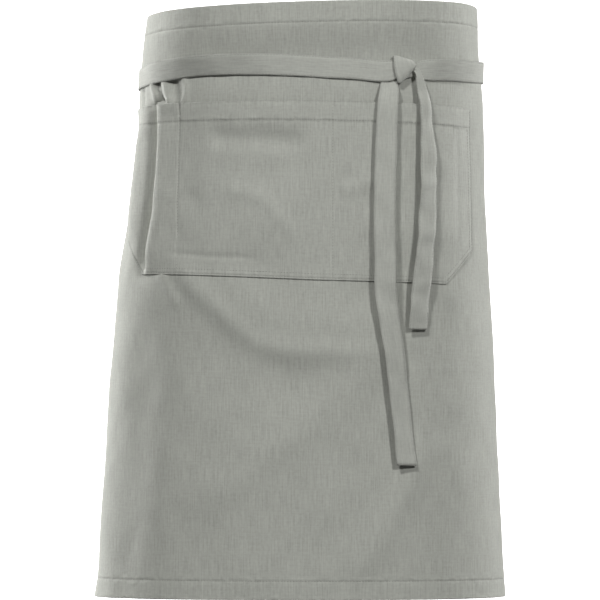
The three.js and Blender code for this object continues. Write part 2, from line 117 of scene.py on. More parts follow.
def girthGrid():
    # the plain girth as a table of points over down and along, sampled later between them
    downs = np.arange(-12, 613, gridStep["down"])
    alongs = np.arange(-620, 621, gridStep["along"])
    angle = np.linspace(0, np.pi, 721)
    across = np.abs(np.sin(angle)) ** (2 / body["power"])
    deep = np.abs(np.cos(angle)) ** (2 / body["power"])
    grid = np.zeros((len(downs), len(alongs), 3))
    for row, down in enumerate(downs):
        share = down / cloth["length"]
        front = body["halfDepth"] * smoothRead(body["girths"], 3, share)
        back = body["halfDepth"] * smoothRead(body["girths"], 4, share)
        sides = []
        for column, sign in ((1, -1), (2, 1)):
            width = body["halfWidth"] * smoothRead(body["girths"], column, share)
            ride = cloth["length"] * smoothRead(body["rides"], column, share)
            x = sign * width * across
            y = np.where(angle < np.pi / 2, -front * deep, back * deep)
            run = np.concatenate([[0], np.cumsum(np.hypot(np.diff(x), np.diff(y)))])
            sides.append((run, np.stack([x, y, ride * across], 1)))
        for side, sign in ((0, -1), (1, 1)):
            (run, points), (farRun, farPoints) = sides[side], sides[1 - side]
            wholeRun = np.concatenate([run, run[-1] + farRun[-1] - farRun[::-1][1:]])
            wholePoints = np.concatenate([points, farPoints[::-1][1:]])
            mine = alongs >= 0 if sign > 0 else alongs < 0
            for k in range(3):
                grid[row, mine, k] = np.interp(alongs[mine] * sign, wholeRun, wholePoints[:, k])
        if row % 60 == 0:
            halves = [sides[0][0][-1], sides[1][0][-1]]
            print(f"girth at {down:.0f} mm down: {halves[0]:.0f} + {halves[1]:.0f} mm")
    return downs, alongs, grid


gridDowns, gridAlongs, girthPoints = girthGrid()
onward = np.gradient(girthPoints[:, :, :2], axis=1)
onward /= np.linalg.norm(onward, axis=2, keepdims=True)
girthNormals = np.stack([onward[:, :, 1], -onward[:, :, 0]], 2)


def sampleGrid(grid, along, down):
    u = np.clip((along - gridAlongs[0]) / gridStep["along"], 0, len(gridAlongs) - 1.001)
    v = np.clip((down - gridDowns[0]) / gridStep["down"], 0, len(gridDowns) - 1.001)
    i, j = u.astype(int), v.astype(int)
    fu, fv = (u - i)[..., None], (v - j)[..., None]
    return ((grid[j, i] * (1 - fu) + grid[j, i + 1] * fu) * (1 - fv)
            + (grid[j + 1, i] * (1 - fu) + grid[j + 1, i + 1] * fu) * fv)


def girthPlace(along, down, height):
    # point that stands height out from the plain girth
    point = sampleGrid(girthPoints, along, down)
    normal = sampleGrid(girthNormals, along, down)
    normal /= np.linalg.norm(normal, axis=-1, keepdims=True)
    z = body["tieDown"] - down + point[..., 2]
    x = point[..., 0] + normal[..., 0] * height
    y = point[..., 1] + normal[..., 1] * height
    return np.stack([x, y, z], -1)


def foldHeight(along, down, rows):
    # each row: name, rise, spread, line of (along, down), all in mm
    height = np.zeros(np.broadcast(along, down).shape)
    for _, rise, spread, line in rows:
        points = np.array(line, float)
        nearest = np.full(height.shape, np.inf)
        share = np.zeros(height.shape)
        for i in range(len(points) - 1):
            step = points[i + 1] - points[i]
            right, under = along - points[i, 0], down - points[i, 1]
            t = np.clip((right * step[0] + under * step[1]) / (step @ step), 0, 1)
            away = np.hypot(right - t * step[0], under - t * step[1])
            closer = away < nearest
            nearest = np.where(closer, away, nearest)
            share = np.where(closer, (i + t) / (len(points) - 1), share)
        fade = ease(share / 0.2) * ease((1 - share) / 0.2)
        height += rise * fade * bump(nearest, spread)
    return height


# Faint waves all over the cloth, from a seeded set of plane waves
slack = {"seed": 11, "count": 26, "shortest": 22, "longest": 95, "steepness": 0.008}
slackRandom = np.random.default_rng(slack["seed"])
slackWaves = [
    (wave, slackRandom.uniform(0, 2 * np.pi), slackRandom.uniform(0, 2 * np.pi))
    for wave in np.geomspace(slack["shortest"], slack["longest"], slack["count"])
]


def slackHeight(along, down):
    height = 0
    for wave, turn, start in slackWaves:
        way = along * np.cos(turn) + 0.7 * down * np.sin(turn)
        height = height + slack["steepness"] * wave / 6 * np.sin(2 * np.pi * way / wave + start)
    return height


# The skirt
skirt = {
    # the main folds, which the pocket and the ties follow: name, rise, spread, line
    "folds": [
        ("side roll", 2.6, 12, [(-204, 112), (-206, 150), (-208, 258)]),
        ("hollow beside the tuck", -2.0, 11, [(-146, 100), (-150, 140), (-153, 200)]),
        ("left side valley", -2.8, 25, [(-166, 290), (-176, 366), (-189, 468), (-204, 660)]),
        ("drape", 3.4, 13, [(-160, 250), (-126, 285), (-80, 325), (-55, 344), (-26, 352),
                            (41, 352), (100, 347)]),
        ("cloth over the drape", 3.0, 22, [(-110, 268), (-62, 308), (-20, 326), (41, 327),
                                           (104, 322)]),
        ("slack under the drape", -1.8, 24, [(-118, 345), (-62, 384), (44, 392)]),
        ("soft lower fold", 3.4, 24, [(92, 346), (50, 372), (8, 417), (-37, 452), (-82, 487),
                                      (-136, 524)]),
        ("right lower fold", 3.0, 16, [(126, 420), (110, 464), (88, 504), (65, 544), (36, 590)]),
        ("right side roll", 3.0, 16, [(215, 84), (211, 180), (218, 288)]),
        ("left back flute", 6.6, 32, [(-334, 210), (-345, 390), (-356, 630)]),
        ("left back hollow", -5.4, 30, [(-275, 240), (-282, 420), (-292, 630)]),
        ("right back flute", 6.0, 32, [(327, 228), (340, 420), (350, 630)]),
        ("right back hollow", -4.8, 30, [(271, 252), (278, 432), (289, 630)]),
        ("hollow under the hem", -3.6, 12, [(-110, 136), (-60, 139), (4, 142)]),
        ("hollow below it", -2.6, 24, [(-112, 163), (-50, 167), (8, 169)]),
    ],
    "gathers": [
        ("gather at the side", 2.5, 5.2, [(-189, 62), (-178, 85), (-172, 100)]),
        ("gather valley", -2.4, 4.4, [(-178, 62), (-168, 87), (-162, 107)]),
        ("second gather", 2.0, 5.6, [(-166, 62), (-157, 87), (-153, 101)]),
        ("gather hollow", -3.0, 8.0, [(-149, 66), (-144, 92), (-142, 116)]),
        ("thin gather", 1.7, 3.6, [(-137, 62), (-131, 84), (-133, 93), (-139, 104)]),
        ("hollow at the side", -2.2, 5.0, [(-210, 76), (-203, 95), (-199, 114)]),
        ("second drape", 1.5, 7, [(-162, 277), (-152, 290), (-134, 316)]),
        ("iron crease", 0.25, 1.6, [(-15, 368), (106, 366), (230, 365)]),
    ],
    # height of the cloth across the tuck, under the pocket: from the tuck's edge, height
    "tuckProfile": [
        (-60, 0.0), (-40, 0.8), (-28, 1.6), (-15, -1.0), (-8, -5.0), (-2, -5.6),
        (4, -3.0), (10, 1.8), (16, 3.0), (25, 1.5), (40, 0.3), (60, 0.0),
    ],
    "tuckSpan": (88, 103, 248, 296),      # down where it starts, is full, starts to end, ends
    # down, and how far the cloth stands out further at its left and right side
    "sides": [
        (0, 0.5, 0.7), (15, 1.3, 1.2), (35, 1.9, 1.2), (60, 2.2, 1.8), (80, 0.8, 1.8),
        (95, 0.2, 1.6), (112, -1.2, 0.8), (130, -1.6, 0.6), (150, -1.2, 1.0), (180, -0.6, 0.3),
        (240, 0.0, 0.2),
        (275, 1.2, 1.4), (300, 2.1, 2.2), (330, 1.6, 3.0), (360, 2.2, 2.8), (390, 3.1, 2.1),
        (430, 3.2, 1.4), (480, 2.9, 1.4), (530, 3.7, 1.5), (570, 2.2, 1.4), (600, 2.2, 1.4),
    ],
    "sideSpread": 44,
    # the top of the front leans out over the ties
    "lean": {"out": 7.0, "end": 60, "run": 44, "spread": 190},
    "seamDent": 0.35, "seamWidth": 1.1, "faintSeam": 12, "faintDent": 0.12,
}
# along of the leftmost and the rightmost point in each row of the girth
sideAlongs = [gridAlongs[pick(girthPoints[:, :, 0], 1)] for pick in (np.argmin, np.argmax)]
# along of the tuck's edge at each down
tuckEdge = [
    (80, -164.0), (100, -165.0), (109, -164.6), (127, -164.2), (148, -164.4), (170, -165.2),
    (191, -166.2), (212, -167.4), (225, -169.6), (239, -172.4), (254, -175.0), (278, -178.5),
    (300, -181.5),
]
tuckHome, tuckReach = -166, 60        # the columns beside it, and how far they give way


def formHeight(along, down):
    # the main forms, which the pocket and the ties follow too
    height = foldHeight(along, down, skirt["folds"])
    for column, side in ((1, sideAlongs[0]), (2, sideAlongs[1])):
        away = along - np.interp(down, gridDowns, side)
        height = height + smoothRead(skirt["sides"], column, down) * bump(away, skirt["sideSpread"])
    lean = skirt["lean"]
    return (height + lean["out"] * ease((lean["end"] - down) / lean["run"])
            * bump(along, lean["spread"]))


def tuckAt(down):
    return smoothRead(tuckEdge, 1, down)


def spanShare(down, span):
    start, full, last, end = span
    return ease((down - start) / (full - start)) * ease((end - down) / (end - last))


def edgeInset(distance):
    # the turned edge is round: its outer face falls back close to the edge
    near = np.clip(distance / cloth["edgeRound"], 0, 1)
    return cloth["edgeRound"] * (1 - np.sqrt(1 - (1 - near) ** 2))


def hemDistance(along, down):
    return np.minimum(np.minimum(down, cloth["length"] - down),
                      np.minimum(along - clothLeft, clothRight - along))


def skirtHeight(along, down):
    tuck = smoothRead(skirt["tuckProfile"], 1, along - tuckAt(down))
    height = formHeight(along, down) + foldHeight(along, down, skirt["gathers"])
    height = height + slackHeight(along, down) + tuck * spanShare(down, skirt["tuckSpan"])
    for away in (down - topSeam, down - bottomSeam, along - leftSeam, along - rightSeam):
        height = height - skirt["seamDent"] * bump(away, skirt["seamWidth"])
    height = height - skirt["faintDent"] * bump(down - skirt["faintSeam"], 1.0)
    return height - edgeInset(hemDistance(along, down))


def skirtPlace(along, down):
    return girthPlace(along, down, skirtHeight(along, down))


def tuckColumns(columns, downs):
    # columns that follow the tuck's edge, as a grid of along
    columns = columns[:, None]
    reach = np.clip(np.abs(columns - tuckHome) / tuckReach, 0, 1)
    return columns + (tuckAt(downs)[None, :] - tuckHome) * (1 - reach**2) ** 2


def faceNormals(points):
    across = np.gradient(points, axis=0)
    along = np.gradient(points, axis=1)
    normal = np.cross(along, across)
    return normal / np.maximum(np.linalg.norm(normal, axis=-1, keepdims=True), 1e-9)


def closedSheet(name, outer, inner, places, columnPick, rowPick, seams, paintedShades):
    # a closed cloth from a fine outer face and a coarser inner one
    columns, rows = outer.shape[:2]
    verts = [outer.reshape(-1, 3)]
    flat = [places.reshape(-1, 2)]
    innerPicked = inner[np.ix_(columnPick, rowPick)]
    verts.append(innerPicked.reshape(-1, 3))
    flat.append(places[np.ix_(columnPick, rowPick)].reshape(-1, 2))
    verts, flat = np.concatenate(verts), np.concatenate(flat)
    start = columns * rows
    pickRows = len(rowPick)

    def out(i, j):
        return i * rows + j

    def back(a, b):
        return start + a * pickRows + b

    faces = []
    for i in range(columns - 1):
        for j in range(rows - 1):
            faces.append((out(i, j), out(i, j + 1), out(i + 1, j + 1), out(i + 1, j)))
    for a in range(len(columnPick) - 1):
        for b in range(pickRows - 1):
            faces.append((back(a, b), back(a + 1, b), back(a + 1, b + 1), back(a, b + 1)))
        i0, i1 = columnPick[a], columnPick[a + 1]
        for b, j, flip in ((0, 0, False), (pickRows - 1, rows - 1, True)):
            rim = [out(i, j) for i in range(i0, i1 + 1)] + [back(a + 1, b), back(a, b)]
            faces.append(tuple(rim[::-1] if flip else rim))
    for b in range(pickRows - 1):
        j0, j1 = rowPick[b], rowPick[b + 1]
        for a, i, flip in ((0, 0, True), (len(columnPick) - 1, columns - 1, False)):
            rim = [out(i, j) for j in range(j0, j1 + 1)] + [back(a, b + 1), back(a, b)]
            faces.append(tuple(rim[::-1] if flip else rim))
    mesh = bpy.data.meshes.new(name)
    mesh.from_pydata((verts * mm).tolist(), [], faces)
    uv = mesh.uv_layers.new(name="clothPlace")
    loopVerts = np.zeros(len(mesh.loops), int)
    mesh.loops.foreach_get("vertex_index", loopVerts)
    uv.data.foreach_set("uv", (flat[loopVerts] * mm).astype(np.float32).ravel())
    # the second attribute is painted shade: a share by which the colour is darkened along seams, edges, the
    # slit and the pocket's mouth
    for label, share in (("nearSeam", seams), ("creaseShade", paintedShades)):
        values = share(flat[:, 0], flat[:, 1]).astype(np.float32)
        mesh.attributes.new(label, "FLOAT", "POINT").data.foreach_set("value", values)
    mesh.shade_smooth()
    mesh.update()
    piece = bpy.data.objects.new(name, mesh)
    scene.collection.objects.link(piece)
    return piece


def everyNth(values, step):
    # picks for the coarser inner face: the ends, and about one in each step
    picks, last = [0], values[0]
    for i, value in enumerate(values):
        if value - last >= step and i < len(values) - 1:
            picks.append(i)
            last = value
    return picks + [len(values) - 1]


skirtColumns = placesBetween([
    clothLeft, (clothLeft + 1, 0.5), (clothLeft + 18, 2.0), (-300, 5.0), (-215, 2.6),
    (-185, 1.5), (-120, 1.2), (200, 2.6), (300, 3.4), (clothRight - 18, 5.0),
    (clothRight - 1, 2.0), (clothRight, 0.5),
])
skirtRows = placesBetween([
    0, (1, 0.33), (18, 2.4), (24, 0.8), (60, 2.6), (112, 1.8), (270, 4.5), (290, 2.0),
    (400, 2.8), (576, 3.4), (582, 0.8), (599, 2.4), (600, 0.33),
])


def skirtSeams(along, down):
    near = np.zeros(np.broadcast(along, down).shape)
    for away in (down - topSeam, down - 1, down - bottomSeam, cloth["length"] - 1 - down,
                 along - leftSeam, along - rightSeam):
        near = np.maximum(near, bump(away, 5.0))
    return near


def skirtPaintedShade(along, down):
    # painted shade along the top and bottom seams, on the line that a stitched seam draws into the cloth
    return 0.35 * np.maximum(bump(down - topSeam, 0.9), bump(down - bottomSeam, 0.9))


skirtDowns = np.broadcast_to(skirtRows[None, :], (len(skirtColumns), len(skirtRows)))
skirtAlongs = tuckColumns(skirtColumns, skirtRows)
skirtOuter = skirtPlace(skirtAlongs, skirtDowns)
hemShare = ease((cloth["topHem"] + 1 - hemDistance(skirtAlongs, skirtDowns)) / 2)
skirtWall = cloth["wall"] + (cloth["hemWall"] - cloth["wall"]) * hemShare
skirtWall = skirtWall - edgeInset(hemDistance(skirtAlongs, skirtDowns))
skirtInner = skirtOuter - faceNormals(skirtOuter) * np.maximum(skirtWall, 0.15)[..., None]
skirtPiece = closedSheet(
    "skirtCloth", skirtOuter, skirtInner, np.stack([skirtAlongs, skirtDowns], -1),
    everyNth(skirtColumns, 9), everyNth(skirtRows, 9), skirtSeams, skirtPaintedShade,
)
print("skirt:", len(skirtPiece.data.polygons), "faces")

# The pocket
pocket = {
    "down": 100, "height": 180, "left": -253, "right": 182, "seams": (-253, -138, 22, 182),
    "cuts": ((68, 86), (40, 36)),     # run and rise of the left and right corner
    "hem": 20, "hemRise": 0.7, "wall": 0.9, "gap": 0.35,
    # how far each compartment stands out, less in the left one and towards foot and edge
    "room": 3.6, "leftRoom": 0.45, "fullness": 1.25, "footRun": 60, "edgeRun": 30,
    "tuckProfile": [
        (-60, 0.0), (-44, 0.5), (-32, 1.2), (-22, 0.4), (-14, -2.4), (-8, -5.4), (-4.5, -6.6),
        (-1.8, -4.4), (1.2, 1.6), (3.5, 4.3), (8, 5.2), (14, 4.1), (25, 1.8), (40, 0.3), (60, 0.0),
    ],
    "tuckSpan": (60, 80, 252, 290),
    # how far the cloth rolls over to the side at the tuck's edge
    "undercut": [(-10, 0.0), (-5, 2.2), (-2, 1.4), (0.6, -0.9), (3.5, -2.8), (8, -1.3), (14, 0.0)],
    "folds": [
        ("hollow by the seam", -1.4, 11, [(-132, 196), (-112, 208)]),
        ("arc in the middle", 1.3, 8, [(-92, 196), (-68, 193), (-45, 201), (-26, 222), (-13, 252)]),
        ("pull by the tie", 1.4, 8, [(26, 190), (46, 185), (72, 176)]),
        ("crease at the right", -0.6, 4.0, [(158, 116), (157.5, 174), (157.6, 245)]),
        ("end drawn in", -2.2, 15, [(-214, 70), (-219, 104), (-224, 140)]),
        ("foot line", -0.8, 2.6, [(-160, 257), (-98, 260.5), (-50, 260)]),
    ],
    "dent": 0.3, "dentWidth": 0.9, "edgeStitch": 2.2, "seamDent": 0.45, "seamWidth": 1.3,
    "slit": {"deep": 2.0, "width": 0.9, "shift": 0.5, "length": 13},
    # the sewn lines in the photo: hem, edge, second line inside it, and two dividers
    "stitches": [
        [(-250.5, 119), (179.5, 119)],
        [(-250.8, 102), (-250.8, 193.5), (-184.2, 277.8), (141.3, 277.8), (179.8, 243.2),
         (179.8, 102)],
        [(-179, 273.6), (139.5, 273.6), (175.6, 241.2), (175.6, 121)],
        [(-138, 114), (-138, 277)], [(22, 102), (22, 277)],
    ],
}
pocketBottom = pocket["down"] + pocket["height"]
pocketHem = pocket["down"] + pocket["hem"] - 1
slitAlong = pocket["seams"][1] + pocket["slit"]["shift"]
slitEnd = pocket["down"] + pocket["slit"]["length"]


def pocketFoot(along):
    (leftRun, leftRise), (rightRun, rightRise) = pocket["cuts"]
    left = np.maximum(0, 1 - (along - pocket["left"]) / leftRun) * leftRise
    right = np.maximum(0, 1 - (pocket["right"] - along) / rightRun) * rightRise
    return pocketBottom - left - right


def pocketEdgeDistance(along, down):
    foot = pocketBottom - down
    near = foot
    sides = (along - pocket["left"], pocket["right"] - along)
    for side, (run, rise) in zip(sides, pocket["cuts"]):
        corner = (side / run + foot / rise - 1) / math.hypot(1 / run, 1 / rise)
        near = np.minimum(near, np.minimum(side, corner))
    return near


def pocketHeight(along, down):
    seams = pocket["seams"]
    arch = 0
    for a, b in zip(seams[:-1], seams[1:]):
        across = np.clip((along - a) / (b - a), 0, 1)
        share = pocket["leftRoom"] if a == pocket["left"] else 1
        arch = arch + share * np.sin(np.pi * across) ** pocket["fullness"]
    away = pocketEdgeDistance(along, down)
    arch = arch * ease((pocketBottom - down) / pocket["footRun"])
    arch = arch * ease(away / pocket["edgeRun"])
    height = formHeight(along, down) + slackHeight(along, down)
    height = height + foldHeight(along, down, pocket["folds"])
    tuck = smoothRead(pocket["tuckProfile"], 1, along - tuckAt(down))
    height = height + tuck * spanShare(down, pocket["tuckSpan"])
    height = height + pocket["gap"] + pocket["wall"] + pocket["room"] * arch
    height = height + pocket["hemRise"] * ease((pocketHem + 2 - down) / 2)
    for distance in (down - pocketHem, away - pocket["edgeStitch"]):
        height = height - pocket["dent"] * bump(distance, pocket["dentWidth"])
    for seam in seams[1:-1]:
        height = height - pocket["seamDent"] * bump(along - seam, pocket["seamWidth"])
    slit = bump(along - slitAlong, pocket["slit"]["width"]) * ease((slitEnd - down) / 3)
    height = height - pocket["slit"]["deep"] * slit
    return height - edgeInset(np.minimum(away, down - pocket["down"]))


def pocketPlace(along, down):
    shift = smoothRead(pocket["undercut"], 1, along - tuckAt(down))
    moved = along + shift * spanShare(down, pocket["tuckSpan"])
    return girthPlace(moved, down, pocketHeight(along, down))


def pocketSeams(along, down):
    near = bump(pocketEdgeDistance(along, down) - 2, 4.0)
    for away in (down - pocketHem, down - pocket["down"] - 1):
        near = np.maximum(near, bump(away, 4.0))
    for seam in pocket["seams"][1:-1]:
        near = np.maximum(near, 0.7 * bump(along - seam, 3.0))
    return near


def pocketPaintedShade(along, down):
    # painted shade along the pocket's edge and the stitch line inside it, in the slit, at the open mouth, and
    # fainter along the hem
    edge = pocketEdgeDistance(along, down)
    line = np.maximum(bump(edge, 1.0), 0.5 * bump(edge - 2.4, 0.8))
    slit = bump(along - slitAlong, 1.2) * (down < slitEnd)
    mouth = 0.8 * bump(down - pocket["down"], 0.9)
    hem = 0.35 * bump(down - pocketHem, 0.9)
    return np.maximum.reduce([line, slit, mouth, hem])


pocketColumns = placesBetween([
    pocket["left"], (pocket["left"] + 1, 0.34), (pocket["left"] + 4, 0.75), (-213, 2.5),
    (-186, 2.2), (-160, 0.75), (-141, 1.6), (-135, 0.5), (18, 2.5), (26, 0.8), (142, 2.5),
    (155, 2.2), (178, 1.6), (181, 0.75), (182, 0.34),
])
pocketRows = placesBetween([
    0, (1, 0.33), (17, 1.8), (22, 0.7), (150, 2.4), (176, 2.0), (179, 0.75), (180, 0.34),
])
pocketShare = pocketRows[None, :] / pocket["height"]
pocketAlongs = tuckColumns(pocketColumns, pocket["down"] + pocketRows)
pocketFeet = pocketFoot(pocketAlongs)
pocketDowns = pocket["down"] + pocketShare * (pocketFeet - pocket["down"])
pocketOuter = pocketPlace(pocketAlongs, pocketDowns)
pocketRim = np.minimum(pocketEdgeDistance(pocketAlongs, pocketDowns), pocketDowns - pocket["down"])
pocketWall = np.maximum(pocket["wall"] - edgeInset(pocketRim), 0.12)
pocketInner = pocketOuter - faceNormals(pocketOuter) * pocketWall[..., None]
pocketPiece = closedSheet(
    "pocketPanel", pocketOuter, pocketInner, np.stack([pocketAlongs, pocketDowns], -1),
    everyNth(pocketColumns, 3), everyNth(pocketRows, 6), pocketSeams, pocketPaintedShade,
)
print("pocket:", len(pocketPiece.data.polygons), "faces")

# The ties: sewn on at the back, crossed there, and knotted at the front right
tie = {
    "width": 22, "wall": 1.6, "gap": 0.6, "seam": 24, "layerGap": 0.7,
    "knotAlong": 95, "knotSag": 3, "tailOut": 12.6, "step": 3.0, "knotSteps": 9,
    # side of the body, length and aim of the tail (mm, degrees), seed and steepness of its ripple
    "left": (-1, 257, 0, 3, 0.012), "right": (1, 395, -180, 5, 0.007),
    # across the tape, as a share of its width, and how thick it is there
    "section": [(0.5, 0.25), (0.485, 0.7), (0.44, 0.95), (0.36, 1), (0.24, 1), (0.12, 1), (0, 1)],
    "innerPicks": [0, 1, 3, 6, 9, 11, 12], "threadRows": (2, 10),
    # share of the way from the sewn end to the side, share of the drop, layer out
    "course": [
        (0.00, 0.00, 0.0), (0.05, 0.00, 0.0), (0.12, 0.03, 1.3), (0.40, 0.52, 1.3),
        (0.58, 0.73, 0.0), (0.75, 0.88, 0.0), (1.00, 1.00, 0.0),
    ],
    # along, and how far the band rides up there
    "leftSweep": [
        (-240, 0.0), (-200, 0.9), (-167, 2.5), (-150, 2.9), (-125, 4.4), (-85, 4.9), (-50, 4.1),
        (-11, 2.1), (16, 0.0),
    ],
    "rightSweep": [(174, 0.0), (190, 0.6), (245, 2.8), (330, 0.0)],
    # along, and the degrees by which its upper edge leans out
    "leftLean": [(-240, 0), (-204, 0), (-170, 13), (-130, 20), (-95, 19), (-60, 10), (-20, 2),
                 (16, 0)],
    "rightLean": [(106, 0), (126, 11), (150, 17), (190, 15), (245, 4), (330, 0)],
    # along, drop (shares of width), layer, aim, turn (degrees), breadth
    "leftKnot": [
        (-3.60, -0.15, 0.0, 90, 0, 1.00), (-2.30, -0.09, 0.0, 90, 0, 1.00),
        (-1.30, 0.01, 0.5, 90, 0, 1.00), (-0.66, 0.00, 0.9, 90, 0, 0.96),
        (-0.20, -0.08, 1.0, 90, 0, 0.66), (0.20, -0.12, 1.1, 88, 6, 0.40),
        (0.44, -0.10, 2.1, 74, 16, 0.32), (0.55, 0.12, 3.3, 36, 10, 0.34),
    ],
    # along (share of width), drop (share of the tail), reach (share of tailOut), turn, breadth
    "leftTail": [
        (0.64, 0.045, 0.78, 4, 0.46), (0.80, 0.105, 0.90, -4, 0.60), (0.86, 0.170, 1.00, -8, 0.70),
        (0.94, 0.330, 1.12, -10, 0.90), (0.92, 0.480, 1.14, -11, 0.95),
        (0.83, 0.650, 1.08, -10, 0.99), (0.69, 0.800, 0.88, -10, 1.00),
        (0.59, 0.930, 0.60, -9, 1.00), (0.57, 1.000, 0.46, -9, 0.98),
    ],
    "rightKnot": [
        (3.60, -0.12, 0.0, -90, 0, 1.00), (2.20, -0.10, 0.0, -90, 0, 1.00),
        (1.40, -0.08, 0.0, -90, 0, 1.00), (0.86, -0.08, 0.0, -92, 0, 0.90),
        (0.46, -0.06, 0.1, -100, 0, 0.66), (0.18, 0.06, 0.9, -122, 0, 0.74),
        (0.05, 0.22, 1.9, -137, 0, 1.06), (0.01, 0.08, 2.5, -151, 0, 1.12),
        (-0.04, -0.18, 2.5, -174, 0, 1.12), (-0.07, -0.40, 2.1, -189, 0, 1.09),
        (-0.08, -0.54, 1.2, -194, 0, 1.05), (-0.12, -0.52, 0.4, -190, 0, 0.98),
        (-0.26, -0.36, -0.2, -184, 0, 0.88), (-0.52, 0.06, -0.2, -178, 0, 0.80),
        (-0.72, 0.50, 0.0, -176, 0, 0.84),
    ],
    "rightTail": [
        (-0.80, 0.052, 0.50, -8, 0.92), (-0.90, 0.085, 0.76, -8, 0.97),
        (-0.99, 0.180, 0.86, -10, 1.00), (-1.07, 0.340, 0.96, -12, 1.00),
        (-1.04, 0.470, 0.96, -12, 1.00), (-1.01, 0.560, 0.86, -12, 1.00),
        (-0.83, 0.645, 0.68, -4, 1.00), (-0.56, 0.745, 0.58, 6, 1.00), (-0.36, 0.820, 0.50, 12, 1.00),
        (-0.14, 0.925, 0.48, 15, 1.00), (0.03, 1.000, 0.46, 15, 1.00),
    ],
}
layerPitch = tie["wall"] + tie["layerGap"]
knotDown = body["tieDown"] + tie["knotSag"]


def restPlace(along, down):
    # where the ties lie: the skirt without its finest folds
    height = formHeight(along, down)
    tuck = smoothRead(skirt["tuckProfile"], 1, along - tuckAt(down))
    return girthPlace(along, down, height + tuck * spanShare(down, skirt["tuckSpan"]))


def unit(vectors):
    return vectors / np.maximum(np.linalg.norm(vectors, axis=-1, keepdims=True), 1e-9)


def tieStations(along, down, out, aim, turn, breadth):
    # middle and breadth of a tie that lies flat on the cloth, for arrays of stations
    ahead = restPlace(along + 1.5, down) - restPlace(along - 1.5, down)
    ahead[:, 2] = 0
    ahead = unit(ahead)
    upper = restPlace(along, down - tie["width"] / 2)
    lower = restPlace(along, down + tie["width"] / 2)
    up = unit(upper - lower)
    normal = unit(np.cross(ahead, up))
    point = (upper + lower) / 2
    crown = np.maximum(0, ((restPlace(along, down) - point) * normal).sum(1))
    point = point + normal * (out + crown)[:, None]
    level, lift = np.radians(aim)[:, None], np.radians(turn)[:, None]
    way = (ahead * np.cos(level) * np.cos(lift) + up * np.sin(level) * np.cos(lift)
           + normal * np.sin(lift))
    return point, way, breadth * tie["width"]


def layerOut(layer):
    return tie["gap"] + tie["wall"] / 2 + np.asarray(layer) * layerPitch


def tieCourse(hand):
    # all the stations of a tie, from its sewn end to the end of its tail
    side, tailLength, tailAim = tie[hand][:3]
    knotRows = tie[hand + "Knot"]
    ring = girthPoints[int(np.argmin(np.abs(gridDowns - body["tieDown"])))]
    middle = len(gridAlongs) // 2
    halves = []
    for reach in (-ring[middle::-1, 0], ring[middle:, 0]):
        halves.append(float(np.argmax(reach[5:] < 0) + 5))
    girth = sum(halves)
    seamEnd = clothRight - girth if side < 0 else clothLeft + girth
    start = seamEnd + side * tie["seam"]
    sideAlong = -halves[0] / 2 if side < 0 else halves[1] / 2
    end = tie["knotAlong"] + knotRows[0][0] * tie["width"]
    count = int(abs(end - start) / tie["step"])
    along = np.linspace(start, end, count + 1)[:-1]
    share = np.clip((along - start) / (sideAlong - start), 0, 1)
    fall = smoothRead(tie["course"], 1, share)
    layer = smoothRead(tie["course"], 2, share) if side < 0 else np.zeros(len(along))
    toKnot = ease(np.clip((along - sideAlong) / (end - sideAlong), 0, 1))
    bandDown = tie["width"] / 2 + (body["tieDown"] - tie["width"] / 2) * fall
    down = bandDown + (knotDown + knotRows[0][1] * tie["width"] - bandDown) * toKnot
    down = down - smoothRead(tie[hand + "Sweep"], 1, along)
    ones = np.ones(len(along))
    band = (along, down, layerOut(layer), -90.0 * side * ones, 0 * ones, ones)
    course = [(i, r[0], r[1] * tie["width"], float(layerOut(r[2])), *r[3:])
              for i, r in enumerate(knotRows)]
    for r in tie[hand + "Tail"]:
        course.append((len(course), r[0], r[1] * tailLength, r[2] * tie["tailOut"], tailAim, *r[3:]))
    order = np.linspace(0, len(course) - 1, (len(course) - 1) * tie["knotSteps"] + 1)
    read = [smoothRead(course, k, order) for k in range(1, 7)]
    knot = (tie["knotAlong"] + read[0] * tie["width"], knotDown + read[1], *read[2:])
    along, down, out, aim, turn, breadth = [np.concatenate(pair) for pair in zip(band, knot)]
    lean = smoothRead(tie[hand + "Lean"], 1, along)
    out = out + tie["width"] / 2 * np.sin(np.radians(lean))
    return along, down, out, aim, turn - side * lean, breadth


def tapeSurface(stations, ripple):
    # outer and inner faces of a tape, as grids of across x stations
    point, way, breadth = tieStations(*stations)
    ahead = unit(np.gradient(point, axis=0))
    normal = unit(np.cross(ahead, way))
    half = tie["section"]
    section = [(-share, thick) for share, thick in half] + half[-2::-1]
    run = np.concatenate([[0], np.cumsum(np.linalg.norm(np.diff(point, axis=0), axis=1))])
    faces = []
    for sign in (1, -1):
        rows = []
        for share, thick in section:
            lift = ripple(run, share, stations)
            rows.append(point + way * (breadth * -share)[:, None]
                        + normal * (lift + sign * thick * tie["wall"] / 2)[:, None])
        faces.append(np.array(rows))
    across = np.array([share for share, _ in section]) * tie["width"]
    places = np.stack(np.broadcast_arrays(across[:, None], run[None, :]), -1)
    return faces[0], faces[1], places


def tapeSeams(across, run):
    return bump(np.abs(across) - tie["width"] / 2 + 1.5, 1.6)


def tapePaintedShade(across, run):
    # painted shade along both edges of the tape
    return 0.8 * bump(np.abs(across) - tie["width"] / 2, 0.7)


